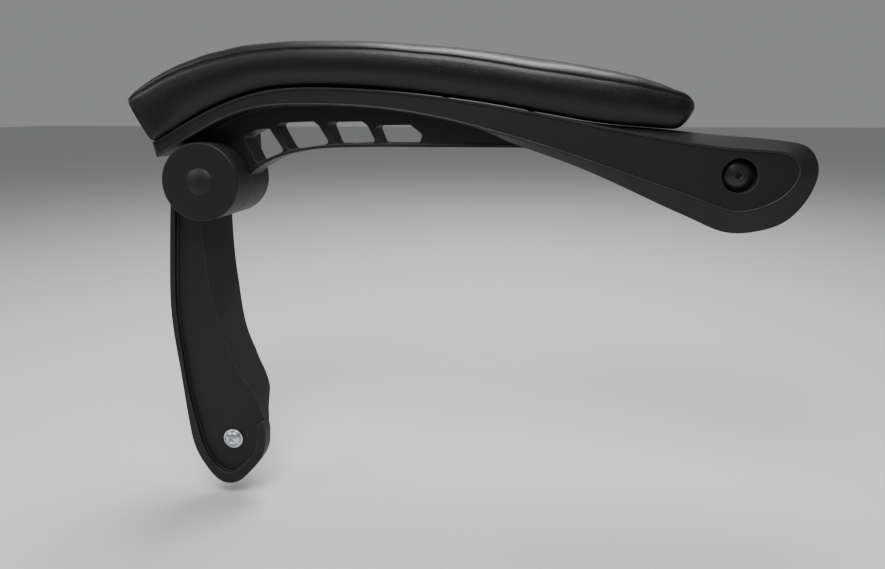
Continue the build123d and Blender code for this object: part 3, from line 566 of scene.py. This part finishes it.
# %% One cross-section
def mirrored_end(points, i):
    """Point i of a half outline, continued past either end by its mirror image."""
    if 0 <= i < len(points):
        return Vector(points[i])
    x, y = points[1] if i < 0 else points[-2]
    return Vector((-x, y))


def half_section(half, high, seam, tuck):
    """Half a cross-section in mm, from the middle of the bottom to the middle of the top."""
    guide = [
        (0, 0), (half - 24, 0), (half - 15 * tuck, 0), (half - 9.0 * tuck, 2.0 * tuck),
        (half - 3.4 * tuck, 8.5 * tuck),
        (half - 0.6, 0.36 * high), (half - 0.2, 0.54 * high), (half - 1.0, seam - 4.5),
        (half - 1.7, seam - 1.1), (half - 2.1, seam), (half - 2.3, seam + 1.1),
        (half - 6.0, seam + 0.52 * (high - seam)), (half - 13, high - 2.2), (half - 24, high - 1.2),
        (0, high - 0.8),
    ]
    counts = [4, 2, 2, 2, 2, 2, 2, 1, 1, 1, 1, 2, 2, 2, 4]
    out = []
    for i, (a, b) in enumerate(zip(guide, guide[1:])):
        for j in range(counts[i]):
            t = j / counts[i]
            before = mirrored_end(guide, i - 1)
            after = mirrored_end(guide, i + 2)
            out.append(curve_between(before, Vector(a), Vector(b), after, t))
    out.append(Vector(guide[-1]))
    seam_row = sum(counts[:9])
    return out, seam_row


def station(share):
    """Point, direction along and direction up at a share of the underside's length."""
    goal = share * lengths[-1]
    i = next((k for k in range(1, len(lengths)) if lengths[k] >= goal), len(lengths) - 1)
    t = (goal - lengths[i - 1]) / (lengths[i] - lengths[i - 1])
    p = line[i - 1].lerp(line[i], t)
    d = (line[i] - line[i - 1]).normalized()
    origin = Vector((p.x, pad_middle, p.y))
    return origin, Vector((d.x, 0, d.y)), Vector((-d.y, 0, d.x))


sample, seam_row = half_section(39.6, 42.0, 33.0, 1.0)
print("rows on one side:", len(sample), "- the seam is row", seam_row)

# %% Loft the pad
stations_along = 66
front_end = [0.0, 0.0016, 0.006, 0.012]
shares = front_end + [0.02 + 0.98 * i / stations_along for i in range(stations_along + 1)]
rear_end = [
    (4.0, 1.6, 1.2, 0.965), (8.0, 5.0, 3.6, 0.90), (11.5, 9.5, 6.6, 0.81), (14.0, 14.0, 10.2, 0.68),
]
rings = []
for share in shares:
    origin, along, up = station(share)
    high = read_table(height_along, share)
    half = read_table(half_width_along, share)
    seam = high * read_table(seam_along, share)
    rows, seam_row = half_section(half, high, seam, read_table(tuck_along, share))
    rings.append((origin, along, up, rows))
for onward, raised, lowered, narrower in rear_end:
    origin, along, up = station(1.0)
    high = read_table(height_along, 1.0)
    rows, seam_row = half_section(35.6, high, high * 0.82, 0.8)
    flatter = (high - raised - lowered) / high
    squeezed = [Vector((p.x * narrower, raised + p.y * flatter)) for p in rows]
    rings.append((origin + along * onward / 1000, along, up, squeezed))

pad_bm = bmesh.new()
held = pad_bm.verts.layers.float.new("held")
loops = []
for ring_number, (origin, along, up, rows) in enumerate(rings):
    full = rows + [Vector((-p.x, p.y)) for p in rows[-2:0:-1]]
    loop = []
    for k, p in enumerate(full):
        vert = pad_bm.verts.new(origin + Vector((0, p.x / 1000, 0)) + up * (p.y / 1000))
        row = k if k < len(rows) else 2 * (len(rows) - 1) - k
        at_seam = abs(row - seam_row) <= 1
        vert[held] = 1.0 if row <= 8 or at_seam or ring_number == 0 else 0.0
        loop.append(vert)
    loops.append(loop)
around = len(loops[0])
for near, far in zip(loops, loops[1:]):
    for k in range(around):
        pad_bm.faces.new((near[k], near[(k + 1) % around], far[(k + 1) % around], far[k]))


def close_end(loop, bulge, direction):
    """Fill an end of the loft with rings that shrink towards its middle."""
    centre = sum((v.co for v in loop), Vector()) / len(loop)
    outer = loop
    for scale in (0.985, 0.93, 0.8, 0.6, 0.4, 0.2):
        push = direction * bulge * (1 - scale ** 2)
        ring = [pad_bm.verts.new(centre + (v.co - centre) * scale + push) for v in loop]
        for i in range(around):
            pad_bm.faces.new((outer[i], outer[(i + 1) % around], ring[(i + 1) % around], ring[i]))
        outer = ring
    tip = pad_bm.verts.new(centre + direction * bulge)
    for i in range(around):
        pad_bm.faces.new((outer[i], outer[(i + 1) % around], tip))


close_end(loops[0], 0.0006, -rings[0][1])
close_end(loops[-1], 0.0015, rings[-1][1])
bmesh.ops.recalc_face_normals(pad_bm, faces=pad_bm.faces)
pad_mesh = bpy.data.meshes.new("pad_upholstery")
weights = [v[held] for v in pad_bm.verts]
pad_bm.to_mesh(pad_mesh)
pad_bm.free()
pad = bpy.data.objects.new("pad_upholstery", pad_mesh)
bpy.context.collection.objects.link(pad)
pins = pad.vertex_groups.new(name="held")
for index, weight in enumerate(weights):
    if weight > 0:
        pins.add([index], weight, "REPLACE")
print("pad mesh:", len(pad_mesh.vertices), "vertices,", len(pad_mesh.polygons), "faces")

# %% [markdown]
# ## Filling the pad
# Stuffed leather is stretched by the foam behind it: it is held at the seams and the underside
# and swells between them. Moving vertices by formula looks mechanical. A short cloth simulation
# with air pressure inside finds the real shape, with the seams pinned. The swelling is capped,
# so the pad keeps its size.

# %% Inflate the cover with a cloth simulation
def finished_mesh(obj):
    """The object's mesh with its modifiers worked in."""
    graph = bpy.context.evaluated_depsgraph_get()
    return bpy.data.meshes.new_from_object(obj.evaluated_get(graph))


def stuff(obj, pressure, cap):
    """Swell obj by a cloth simulation, moving no vertex further than cap metres."""
    cloth = obj.modifiers.new("cloth", "CLOTH")
    cloth.settings.quality = 6
    cloth.settings.mass = 0.3
    cloth.settings.tension_stiffness = 12
    cloth.settings.compression_stiffness = 12
    cloth.settings.shear_stiffness = 8
    cloth.settings.bending_stiffness = 1.5
    cloth.settings.use_pressure = True
    cloth.settings.uniform_pressure_force = pressure
    cloth.settings.vertex_group_mass = "held"
    cloth.settings.effector_weights.gravity = 0
    cloth.collision_settings.use_collision = False
    cloth.point_cache.frame_start, cloth.point_cache.frame_end = 1, 20
    scene = bpy.context.scene
    for step_number in range(1, 21):
        scene.frame_set(step_number)
    swollen = finished_mesh(obj)
    furthest = 0.0
    for vert, goal in zip(obj.data.vertices, swollen.vertices):
        move = goal.co - vert.co
        furthest = max(furthest, move.length)
        if move.length > cap:
            move *= cap / move.length
        vert.co += move
    obj.modifiers.clear()
    scene.frame_set(1)
    return furthest


air_pressure = 4.0
most_swelling = 0.0032
moved = stuff(pad, air_pressure, most_swelling)
print("furthest move before the cap, mm:", round(1000 * moved, 2))

# %% [markdown]
# ## Seams
# Where two pieces of leather are sewn, the thread pulls the edges down into a narrow groove.
# The pad has three such lines: one near the top edge of each long side and one round the front
# end. The rows that were set aside for the seam are pushed in along their normals, and one
# subdivision then rounds everything else.

# %% Press in the seams and smooth the pad
side_seam_depth = 0.0027
front_seam_depth = 0.0008
front_seam_ring = 1
outward = [v.normal.copy() for v in pad.data.vertices]
for ring_number in range(len(rings)):
    for row in (seam_row, around - seam_row):
        vert = pad.data.vertices[ring_number * around + row]
        vert.co -= outward[vert.index] * side_seam_depth
for row in range(10, around - 9):
    vert = pad.data.vertices[front_seam_ring * around + row]
    vert.co -= outward[vert.index] * front_seam_depth
smooth = pad.modifiers.new("smooth", "SUBSURF")
smooth.levels = smooth.render_levels = 1
rounded = finished_mesh(pad)
pad.modifiers.clear()
pad.data = rounded
for face in rounded.polygons:
    face.use_smooth = True
rounded.materials.clear()
rounded.materials.append(finishes["pad_leather"])
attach(pad, "arm")
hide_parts("pad_cover", "pad_foam")
print("finished pad:", len(rounded.vertices), "vertices")

# %% [markdown]
# ## Threads on the chair studs
# The rear bolt and the foot bolt end in threaded studs that screw into the chair. In the frame
# they are plain cylinders of the thread's outer size. A thread could be a bump texture, but its
# outline would stay straight. Here the stud is a fine grid rolled into a cylinder, and each
# point's radius follows a triangular wave that climbs one pitch per turn, which is a thread.

# %% Cut the threads
def add_thread(bm, x, z, start, end, crest, depth, pitch):
    """A threaded stud along Y from start to end, closed at both ends."""
    turns, rows = 40, int((end - start) / pitch * 10)
    grid = []
    for i in range(rows + 1):
        y = start + (end - start) * i / rows
        ring = []
        for k in range(turns):
            phase = ((y - start) / pitch - k / turns) % 1.0
            radius = crest - depth * (1 - min(1.0, 1.25 * abs(2 * phase - 1)))
            near_tip = max(0.0, 1 - (end - y) / 0.0009)
            near_root = max(0.0, 1 - (y - start) / 0.0006)
            radius -= 0.0009 * near_tip + 0.0004 * near_root
            angle = 2 * math.pi * k / turns
            spot = (x + radius * math.cos(angle), y, z + radius * math.sin(angle))
            ring.append(bm.verts.new(spot))
        grid.append(ring)
    for low, high in zip(grid, grid[1:]):
        for k in range(turns):
            bm.faces.new((low[k], low[(k + 1) % turns], high[(k + 1) % turns], high[k]))
    bm.faces.new(grid[0])
    bm.faces.new(grid[-1][::-1])


def bolt_with_thread(node, body, radius, pitch):
    """The frame's bolt with its plain stud swapped for a threaded one."""
    low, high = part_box(node)
    x, z = (low.x + high.x) / 2, (low.z + high.z) / 2
    bm = bmesh.new()
    bm.from_mesh(frame["nodes"][node].data)
    bmesh.ops.remove_doubles(bm, verts=bm.verts, dist=1e-6)
    parts = bm.verts[:] + bm.edges[:] + bm.faces[:]
    cut = bmesh.ops.bisect_plane(
        bm, geom=parts, plane_co=(0, -0.0002, 0), plane_no=(0, 1, 0), clear_outer=True)
    rim = [e for e in cut["geom_cut"] if isinstance(e, bmesh.types.BMEdge)]
    bmesh.ops.holes_fill(bm, edges=rim)
    for face in bm.faces:
        face.smooth = False
    add_thread(bm, x, z, -0.0002, high.y, radius, 0.61 * pitch, pitch)
    bmesh.ops.recalc_face_normals(bm, faces=bm.faces)
    mesh = bpy.data.meshes.new(node + "_threaded")
    bm.to_mesh(mesh)
    bm.free()
    mesh.set_sharp_from_angle(angle=math.radians(32))
    for face in mesh.polygons:
        face.use_smooth = True
    piece = bpy.data.objects.new(node + "_threaded", mesh)
    bpy.context.collection.objects.link(piece)
    mesh.materials.append(finishes[slot_of[node]])
    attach(piece, body)
    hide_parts(node)
    return piece


rear = bolt_with_thread("rear_bolt", "rear_pivot_bolt", 0.004, 0.00125)
foot = bolt_with_thread("foot_bolt", "foot_pivot_bolt", 0.004, 0.00125)
print("threaded bolts:", len(rear.data.vertices), "and", len(foot.data.vertices), "vertices")
